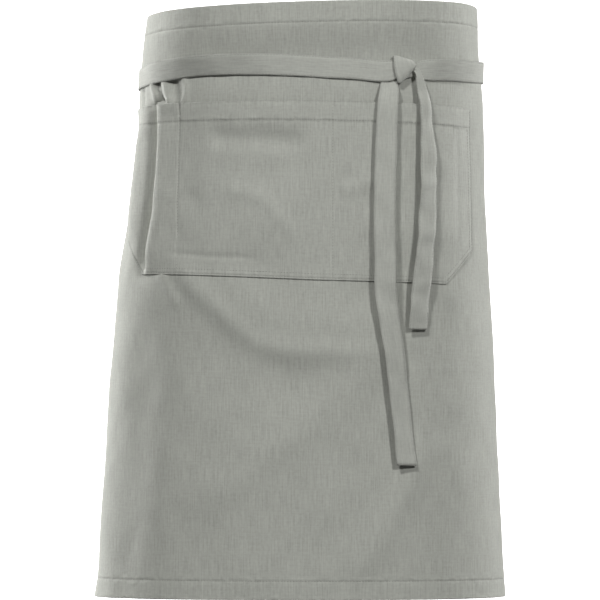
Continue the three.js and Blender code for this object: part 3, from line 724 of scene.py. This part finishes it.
def tapeRipple(seed, steepness):
    # loose stretches swing in slanted waves, narrow ones are pleated, and the edges curl in
    random = np.random.default_rng(seed)
    waves = [(w, random.uniform(0, 6.28), random.uniform(-1.2, 1.2)) for w in (17, 26, 41, 63)]

    def ripple(run, share, stations):
        loose = ease((stations[2] - 4) / 6)
        gathered = np.clip(1 - stations[5], 0, 0.5)
        lift = 0
        for wave, start, slant in waves:
            turn = 2 * np.pi * run / wave + start + slant * share * 4
            lift = lift + steepness * wave * np.sin(turn)
        pleats = 0.9 * gathered * np.cos(2 * np.pi * (share * 1.6 + 0.1))
        curl = -1.1 * ease((abs(share) - 0.38) / 0.12)
        return lift * (0.2 + 0.8 * loose) + pleats + curl * (0.25 + 0.75 * loose)
    return ripple


def tapePiece(name, hand):
    outer, inner, places = tapeSurface(tieCourse(hand), tapeRipple(*tie[hand][3:]))
    return closedSheet(name, outer, inner, places, tie["innerPicks"], list(range(outer.shape[1])),
                       tapeSeams, tapePaintedShade), outer


tieLeft, tieLeftOuter = tapePiece("tieLeftTape", "left")
tieRight, tieRightOuter = tapePiece("tieRightTape", "right")
print("ties:", len(tieLeft.data.polygons), "+", len(tieRight.data.polygons), "faces")


# Stitches: short threads along each sewn line
stitch = {
    "pitch": 3.0, "long": 2.3, "thick": 0.42,
    # share of its length, share of its thickness, lift above the cloth
    "spindle": [(-0.5, 0, -0.30), (-0.3, 0.85, 0), (0, 1, 0.10), (0.3, 0.85, 0), (0.5, 0, -0.30)],
}


def stitchLine(place, line):
    # threads along a line of (along, down) points on a surface given by place
    line = np.array(line, float)
    fine = [line[0]]
    for a, b in zip(line[:-1], line[1:]):
        count = max(2, int(np.hypot(*(b - a)) / 1.0))
        fine += [a + (b - a) * k / count for k in range(1, count + 1)]
    fine = np.array(fine)
    points = place(fine[:, 0], fine[:, 1])
    sideways = place(fine[:, 0], fine[:, 1] + 0.5) - place(fine[:, 0], fine[:, 1] - 0.5)
    onwards = place(fine[:, 0] + 0.5, fine[:, 1]) - place(fine[:, 0] - 0.5, fine[:, 1])
    normals = unit(np.cross(sideways, onwards))
    return threads(points, normals)


def readAlong(at, run, table):
    return np.array([np.interp(at, run, table[:, k]) for k in range(3)])


def threads(points, normals):
    # spindles on the line of points, with their ends sunk into the cloth
    run = np.concatenate([[0], np.cumsum(np.linalg.norm(np.diff(points, axis=0), axis=1))])
    count = int(run[-1] / stitch["pitch"])
    verts, faces = [], []
    for middle in (np.arange(count) + 0.5) * run[-1] / count:
        base = len(verts)
        for share, thick, lift in stitch["spindle"]:
            at = middle + share * stitch["long"]
            n = readAlong(at, run, normals)
            centre = readAlong(at, run, points) + n * lift
            if thick == 0:
                verts.append(centre)
                continue
            ahead = readAlong(at + 0.4, run, points) - readAlong(at - 0.4, run, points)
            side = np.cross(ahead / max(np.linalg.norm(ahead), 1e-9), n)
            radius = stitch["thick"] / 2 * thick
            verts += [centre + side * radius, centre + n * radius, centre - side * radius,
                      centre - n * radius]
        rings = [base + 1, base + 5, base + 9]
        for k in range(4):
            nextK = (k + 1) % 4
            faces.append((base, rings[0] + nextK, rings[0] + k))
            faces.append((base + 13, rings[2] + k, rings[2] + nextK))
            for a, b in zip(rings[:-1], rings[1:]):
                faces.append((a + k, a + nextK, b + nextK, b + k))
    return np.array(verts), faces


def threadPiece(name, lots):
    verts, faces, base = [], [], 0
    for lotVerts, lotFaces in lots:
        verts.append(lotVerts)
        faces += [tuple(base + i for i in face) for face in lotFaces]
        base += len(lotVerts)
    mesh = bpy.data.meshes.new(name)
    mesh.from_pydata((np.concatenate(verts) * mm).tolist(), [], faces)
    mesh.shade_smooth()
    piece = bpy.data.objects.new(name, mesh)
    scene.collection.objects.link(piece)
    return piece


skirtThreads = threadPiece("skirtThreads", [
    stitchLine(skirtPlace, [(clothLeft + 3, topSeam), (clothRight - 3, topSeam)]),
    stitchLine(skirtPlace, [(clothLeft + 3, bottomSeam), (clothRight - 3, bottomSeam)]),
    stitchLine(skirtPlace, [(leftSeam, topSeam + 3), (leftSeam, bottomSeam - 3)]),
    stitchLine(skirtPlace, [(rightSeam, topSeam + 3), (rightSeam, bottomSeam - 3)]),
])
pocketThreads = threadPiece(
    "pocketThreads", [stitchLine(pocketPlace, line) for line in pocket["stitches"]])
tieThreads = threadPiece("tieThreads", [
    threads(outer[row], faceNormals(outer)[row])
    for outer in (tieLeftOuter, tieRightOuter) for row in tie["threadRows"]
])
print("threads:", len(skirtThreads.data.polygons), "+", len(pocketThreads.data.polygons), "faces")


# Materials. Effects shared by them are node groups.

def newGroup(name, inputs, outputs):
    group = bpy.data.node_groups.new(name, "ShaderNodeTree")
    for label, kind, value in inputs:
        socket = group.interface.new_socket(label, in_out="INPUT", socket_type=kind)
        if value is not None:
            socket.default_value = value
    for label, kind in outputs:
        group.interface.new_socket(label, in_out="OUTPUT", socket_type=kind)
    return group, group.nodes.new("NodeGroupInput"), group.nodes.new("NodeGroupOutput")


def mathNode(tree, operation, *values):
    node = tree.nodes.new("ShaderNodeMath")
    node.operation = operation
    for socket, value in zip(node.inputs, values):
        if isinstance(value, (int, float)):
            socket.default_value = value
        else:
            tree.links.new(value, socket)
    return node.outputs[0]


def noiseNode(tree, place, scale, detail=2.0, stretch=(1, 1, 1)):
    mapping = tree.nodes.new("ShaderNodeMapping")
    mapping.inputs["Scale"].default_value = stretch
    noise = tree.nodes.new("ShaderNodeTexNoise")
    noise.inputs["Scale"].default_value = scale
    noise.inputs["Detail"].default_value = detail
    tree.links.new(place, mapping.inputs["Vector"])
    tree.links.new(mapping.outputs["Vector"], noise.inputs["Vector"])
    return noise.outputs[0]


def buildTwill():
    # diagonal ridges of a twill with the threads that cross in them; the second output, how far up a ridge a
    # place lies, serves only the painted light on the ridges and painted shade in the grooves
    group, inside, outside = newGroup(
        "twillWeave",
        [("Place", "NodeSocketVector", None), ("Pitch", "NodeSocketFloat", 0.0009),
         ("Thread", "NodeSocketFloat", 0.00045)],
        [("Height", "NodeSocketFloat"), ("Ridge Shade", "NodeSocketFloat")],
    )
    split = group.nodes.new("ShaderNodeSeparateXYZ")
    group.links.new(inside.outputs["Place"], split.inputs[0])
    x, y = split.outputs[0], split.outputs[1]
    wobble = noiseNode(group, inside.outputs["Place"], 900, 1.0)
    slant = mathNode(group, "ADD", x, mathNode(group, "MULTIPLY", y, 0.75))
    turns = mathNode(group, "DIVIDE", slant, inside.outputs["Pitch"])
    turns = mathNode(group, "ADD", turns, mathNode(group, "MULTIPLY", wobble, 0.5))
    ridge = mathNode(group, "SINE", mathNode(group, "MULTIPLY", turns, 2 * math.pi))
    warpTurns = mathNode(group, "DIVIDE", x, inside.outputs["Thread"])
    warp = mathNode(group, "SINE", mathNode(group, "MULTIPLY", warpTurns, 2 * math.pi))
    weftTurns = mathNode(group, "DIVIDE", y, inside.outputs["Thread"])
    weft = mathNode(group, "SINE", mathNode(group, "MULTIPLY", weftTurns, 2 * math.pi))
    crossed = mathNode(group, "MULTIPLY", warp, weft)
    height = mathNode(group, "MULTIPLY_ADD", ridge, 0.35, 0.5)
    height = mathNode(group, "MULTIPLY_ADD", crossed, 0.15, height)
    group.links.new(height, outside.inputs["Height"])
    group.links.new(mathNode(group, "MULTIPLY_ADD", ridge, 0.5, 0.5), outside.inputs["Ridge Shade"])
    return group


def buildTone():
    # colour of a piece-dyed cloth: slight mottle, uneven yarns, lighter where it is rubbed, with painted
    # light on the twill's ridges, painted shade in its grooves, and painted shade along seams and edges
    group, inside, outside = newGroup(
        "dyedTone",
        [("Place", "NodeSocketVector", None), ("Colour", "NodeSocketColor", (0.3, 0.31, 0.28, 1)),
         ("Mottle", "NodeSocketFloat", 0.06), ("Yarn", "NodeSocketFloat", 0.08),
         ("Rubbed", "NodeSocketFloat", 0.0), ("Worn Gain", "NodeSocketFloat", 0.06),
         ("Ridge Shade", "NodeSocketFloat", 0.5), ("Crease Shade", "NodeSocketFloat", 0.0)],
        [("Colour", "NodeSocketColor")],
    )
    place = inside.outputs["Place"]
    broad = mathNode(group, "SUBTRACT", noiseNode(group, place, 28, 2.0), 0.5)
    fine = mathNode(group, "SUBTRACT", noiseNode(group, place, 330, 3.0), 0.5)
    warp = mathNode(group, "SUBTRACT", noiseNode(group, place, 900, 1.0, (1, 0.05, 1)), 0.5)
    weft = mathNode(group, "SUBTRACT", noiseNode(group, place, 900, 1.0, (0.05, 1, 1)), 0.5)
    uneven = mathNode(group, "MULTIPLY_ADD", broad, 0.4, fine)
    mottle = mathNode(group, "MULTIPLY", uneven, inside.outputs["Mottle"])
    yarns = mathNode(group, "MULTIPLY_ADD", weft, 0.35, warp)
    yarn = mathNode(group, "MULTIPLY", yarns, inside.outputs["Yarn"])
    worn = mathNode(group, "MULTIPLY", inside.outputs["Rubbed"], inside.outputs["Worn Gain"])
    # painted light on the twill's ridges and painted shade in its grooves, 2.5% each way
    ridge = mathNode(group, "MULTIPLY_ADD", inside.outputs["Ridge Shade"], 0.05, -0.025)
    total = mathNode(group, "ADD", mathNode(group, "ADD", mottle, yarn), mathNode(group, "ADD", worn, ridge))
    gain = mathNode(group, "ADD", total, 1.0)
    # painted shade: up to 38% darker along seams, edges, the slit and the pocket's mouth
    gain = mathNode(group, "MULTIPLY_ADD", inside.outputs["Crease Shade"], -0.38, gain)
    scaled = group.nodes.new("ShaderNodeVectorMath")
    scaled.operation = "SCALE"
    group.links.new(inside.outputs["Colour"], scaled.inputs[0])
    group.links.new(gain, scaled.inputs["Scale"])
    group.links.new(scaled.outputs[0], outside.inputs["Colour"])
    return group


def buildPucker():
    # small puckers where a seam draws the cloth in
    group, inside, outside = newGroup(
        "seamPucker",
        [("Place", "NodeSocketVector", None), ("Near", "NodeSocketFloat", 0.0),
         ("Scale", "NodeSocketFloat", 150.0)],
        [("Height", "NodeSocketFloat")],
    )
    noise = group.nodes.new("ShaderNodeTexNoise")
    noise.inputs["Detail"].default_value = 1.0
    group.links.new(inside.outputs["Place"], noise.inputs["Vector"])
    group.links.new(inside.outputs["Scale"], noise.inputs["Scale"])
    centred = mathNode(group, "SUBTRACT", noise.outputs[0], 0.5)
    group.links.new(mathNode(group, "MULTIPLY", centred, inside.outputs["Near"]), outside.inputs["Height"])
    return group


twillGroup, toneGroup, puckerGroup = buildTwill(), buildTone(), buildPucker()


def placeGroup(tree, group, links, values):
    node = tree.nodes.new("ShaderNodeGroup")
    node.node_tree = group
    for name, socket in links.items():
        tree.links.new(socket, node.inputs[name])
    for name, value in values.items():
        node.inputs[name].default_value = value
    return node


def clothMaterial(name, look):
    material = bpy.data.materials.new(name)
    material.use_nodes = True
    tree = material.node_tree
    shader = tree.nodes["Principled BSDF"]
    shader.inputs["Roughness"].default_value = look["roughness"]
    shader.inputs["Specular IOR Level"].default_value = look["gloss"]
    shader.inputs["Sheen Weight"].default_value = look["sheen"]
    shader.inputs["Sheen Roughness"].default_value = 0.5
    uv = tree.nodes.new("ShaderNodeUVMap")
    uv.uv_map = "clothPlace"
    near = tree.nodes.new("ShaderNodeAttribute")
    near.attribute_name = "nearSeam"
    # the attribute read next holds the painted shade along seams, edges, the slit and the pocket's mouth
    creaseShade = tree.nodes.new("ShaderNodeAttribute")
    creaseShade.attribute_name = "creaseShade"
    place = uv.outputs["UV"]
    twill = placeGroup(tree, twillGroup, {"Place": place}, {"Pitch": look["pitch"], "Thread": look["thread"]})
    tone = placeGroup(
        tree, toneGroup, {"Place": place, "Rubbed": near.outputs["Fac"], "Ridge Shade": twill.outputs["Ridge Shade"],
                          "Crease Shade": creaseShade.outputs["Fac"]},
        {"Colour": (*look["colour"], 1), "Mottle": look["mottle"], "Yarn": look["yarn"],
         "Worn Gain": look["worn"]})
    pucker = placeGroup(tree, puckerGroup, {"Place": place, "Near": near.outputs["Fac"]},
                        {"Scale": look["puckerScale"]})
    height = mathNode(tree, "MULTIPLY", twill.outputs["Height"], look["weaveDepth"])
    height = mathNode(tree, "MULTIPLY_ADD", pucker.outputs["Height"], look["puckerDepth"], height)
    relief = tree.nodes.new("ShaderNodeBump")
    relief.inputs["Distance"].default_value = 1.0
    tree.links.new(height, relief.inputs["Height"])
    tree.links.new(relief.outputs["Normal"], shader.inputs["Normal"])
    tree.links.new(tone.outputs["Colour"], shader.inputs["Base Color"])
    return material


looks = {
    "skirt": {"colour": (0.345, 0.352, 0.318), "roughness": 0.88, "gloss": 0.25, "sheen": 0.12,
              "pitch": 0.0011, "thread": 0.00055, "mottle": 0.26, "yarn": 0.42, "worn": 0.03,
              "weaveDepth": 0.00010, "puckerScale": 130.0, "puckerDepth": 0.0012},
    "pocket": {"colour": (0.352, 0.359, 0.325), "roughness": 0.88, "gloss": 0.25, "sheen": 0.12,
               "pitch": 0.0011, "thread": 0.00055, "mottle": 0.26, "yarn": 0.42, "worn": 0.05,
               "weaveDepth": 0.00010, "puckerScale": 140.0, "puckerDepth": 0.0010},
    "tape": {"colour": (0.36, 0.367, 0.333), "roughness": 0.86, "gloss": 0.25, "sheen": 0.14,
             "pitch": 0.0010, "thread": 0.0005, "mottle": 0.22, "yarn": 0.36, "worn": 0.06,
             "weaveDepth": 0.00010, "puckerScale": 170.0, "puckerDepth": 0.0006},
}
skirtMaterial = clothMaterial("skirtTwill", looks["skirt"])
pocketMaterial = clothMaterial("pocketTwill", looks["pocket"])
tapeMaterial = clothMaterial("tapeTwill", looks["tape"])


def threadMaterial():
    material = bpy.data.materials.new("sewingThread")
    material.use_nodes = True
    tree = material.node_tree
    shader = tree.nodes["Principled BSDF"]
    shader.inputs["Roughness"].default_value = 0.6
    coords = tree.nodes.new("ShaderNodeTexCoord")
    tone = placeGroup(tree, toneGroup, {"Place": coords.outputs["Object"]},
                      {"Colour": (0.2, 0.204, 0.184, 1), "Mottle": 0.15, "Yarn": 0.2, "Ridge Shade": 0.5})
    twist = noiseNode(tree, coords.outputs["Object"], 2400, 1.0)
    relief = tree.nodes.new("ShaderNodeBump")
    relief.inputs["Distance"].default_value = 0.0002
    tree.links.new(twist, relief.inputs["Height"])
    tree.links.new(relief.outputs["Normal"], shader.inputs["Normal"])
    tree.links.new(tone.outputs["Colour"], shader.inputs["Base Color"])
    return material


sewing = threadMaterial()
for piece, material, nodeName, slotName in (
    (skirtPiece, skirtMaterial, "skirt", "cloth"), (pocketPiece, pocketMaterial, "pocket", "cloth"),
    (tieLeft, tapeMaterial, "tie_left", "tape"), (tieRight, tapeMaterial, "tie_right", "tape"),
):
    piece.data.materials.append(material)
    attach(piece, "root")
    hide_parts(nodeName)
for piece in (skirtThreads, pocketThreads, tieThreads):
    piece.data.materials.append(sewing)
    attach(piece, "root")
print("materials done")

# Floor and backdrop in one sweep
stage = {"floor": -0.62, "front": -3.2, "bend": 1.9, "radius": 0.9, "top": 3.6, "halfWidth": 4.5}


def studioSweep():
    profile = [(stage["front"], stage["floor"]), (stage["bend"], stage["floor"])]
    for k in range(1, 17):
        turn = math.pi / 2 * k / 16
        profile.append((stage["bend"] + stage["radius"] * math.sin(turn),
                        stage["floor"] + stage["radius"] * (1 - math.cos(turn))))
    profile.append((stage["bend"] + stage["radius"], stage["top"]))
    verts = [(x, y, z) for y, z in profile for x in (-stage["halfWidth"], stage["halfWidth"])]
    faces = [(2 * i, 2 * i + 1, 2 * i + 3, 2 * i + 2) for i in range(len(profile) - 1)]
    mesh = bpy.data.meshes.new("studioSweep")
    mesh.from_pydata(verts, [], faces)
    mesh.shade_smooth()
    sweep = bpy.data.objects.new("studioSweep", mesh)
    scene.collection.objects.link(sweep)
    material = bpy.data.materials.new("paleStudio")
    material.use_nodes = True
    tree = material.node_tree
    shader = tree.nodes["Principled BSDF"]
    shader.inputs["Base Color"].default_value = (0.84, 0.84, 0.84, 1)
    shader.inputs["Roughness"].default_value = 0.95
    shader.inputs["Emission Strength"].default_value = 1.0
    # lit from below away from the middle, so that it ends in white on all sides
    where = tree.nodes.new("ShaderNodeNewGeometry")
    level = tree.nodes.new("ShaderNodeVectorMath")
    level.operation = "MULTIPLY"
    level.inputs[1].default_value = (1, 1, 0)
    tree.links.new(where.outputs["Position"], level.inputs[0])
    far = tree.nodes.new("ShaderNodeVectorMath")
    far.operation = "LENGTH"
    tree.links.new(level.outputs[0], far.inputs[0])
    glow = tree.nodes.new("ShaderNodeMapRange")
    glow.interpolation_type = "SMOOTHSTEP"
    for name, value in (("From Min", 0.5), ("From Max", 2.2), ("To Min", 0.35), ("To Max", 1.0)):
        glow.inputs[name].default_value = value
    tree.links.new(far.outputs["Value"], glow.inputs["Value"])
    grey = tree.nodes.new("ShaderNodeCombineColor")
    for channel in ("Red", "Green", "Blue"):
        tree.links.new(glow.outputs["Result"], grey.inputs[channel])
    tree.links.new(grey.outputs[0], shader.inputs["Emission Color"])
    # as a light source the stage is dimmer, so that it doesn't fill the folds
    dim = tree.nodes.new("ShaderNodeBsdfDiffuse")
    dim.inputs["Color"].default_value = (0.14, 0.14, 0.14, 1)
    rays = tree.nodes.new("ShaderNodeLightPath")
    mix = tree.nodes.new("ShaderNodeMixShader")
    tree.links.new(rays.outputs["Is Camera Ray"], mix.inputs["Fac"])
    tree.links.new(dim.outputs[0], mix.inputs[1])
    tree.links.new(shader.outputs[0], mix.inputs[2])
    # seen from behind it is clear, so that it hides nothing in the back views
    clear = tree.nodes.new("ShaderNodeBsdfTransparent")
    oneSided = tree.nodes.new("ShaderNodeMixShader")
    tree.links.new(where.outputs["Backfacing"], oneSided.inputs["Fac"])
    tree.links.new(mix.outputs[0], oneSided.inputs[1])
    tree.links.new(clear.outputs[0], oneSided.inputs[2])
    tree.links.new(oneSided.outputs[0], tree.nodes["Material Output"].inputs["Surface"])
    mesh.materials.append(material)
    return sweep


studioSweep()


def softBox(name, place, aim, size, power):
    data = bpy.data.lights.new(name, "AREA")
    data.shape = "RECTANGLE"
    data.size, data.size_y = size
    data.energy = power
    lamp = bpy.data.objects.new(name, data)
    lamp.location = place
    lamp.rotation_euler = (Vector(aim) - Vector(place)).to_track_quat("-Z", "Y").to_euler()
    scene.collection.objects.link(lamp)
    return lamp


lights = {
    "leftRim": ((-2.55, 1.6, 0.2), (0, 0, -0.2), (0.6, 2.4), 205),
    "rightRim": ((2.6, 1.4, 0.2), (0, 0, -0.2), (0.6, 2.4), 124),
    "leftKey": ((-1.7, -4.5, 4.0), (0, 0, -0.2), (0.6, 0.7), 248),
    "rightKey": ((2.2, -3.9, 1.8), (0, 0, -0.2), (0.5, 0.6), 120),
}
for lightName, (place, aim, size, power) in lights.items():
    softBox(lightName, place, aim, size, power)

world = bpy.data.worlds.new("studioAir")
scene.world = world
world.use_nodes = True
airTree = world.node_tree
soft = airTree.nodes["Background"]
soft.inputs["Color"].default_value = (1, 1, 1, 1)
soft.inputs["Strength"].default_value = 0.02
pale = airTree.nodes.new("ShaderNodeBackground")
pale.inputs["Color"].default_value = (1, 1, 1, 1)
pale.inputs["Strength"].default_value = 1.0
rays = airTree.nodes.new("ShaderNodeLightPath")
blend = airTree.nodes.new("ShaderNodeMixShader")
airTree.links.new(rays.outputs["Is Camera Ray"], blend.inputs["Fac"])
airTree.links.new(soft.outputs[0], blend.inputs[1])
airTree.links.new(pale.outputs[0], blend.inputs[2])
airTree.links.new(blend.outputs[0], airTree.nodes["World Output"].inputs["Surface"])
scene.view_settings.view_transform = "Standard"

# Camera at the photo's angle
camera = {"place": (-0.0109, -4.325, -0.375), "tilt": 1.936, "lens": 252}
cameraData = bpy.data.cameras.new("photoCamera")
cameraData.lens = camera["lens"]
cameraData.sensor_width = 36
cameraData.clip_end = 50
cameraObject = bpy.data.objects.new("photoCamera", cameraData)
cameraObject.location = camera["place"]
cameraObject.rotation_euler = (math.radians(90 + camera["tilt"]), 0, 0)
scene.collection.objects.link(cameraObject)
scene.camera = cameraObject
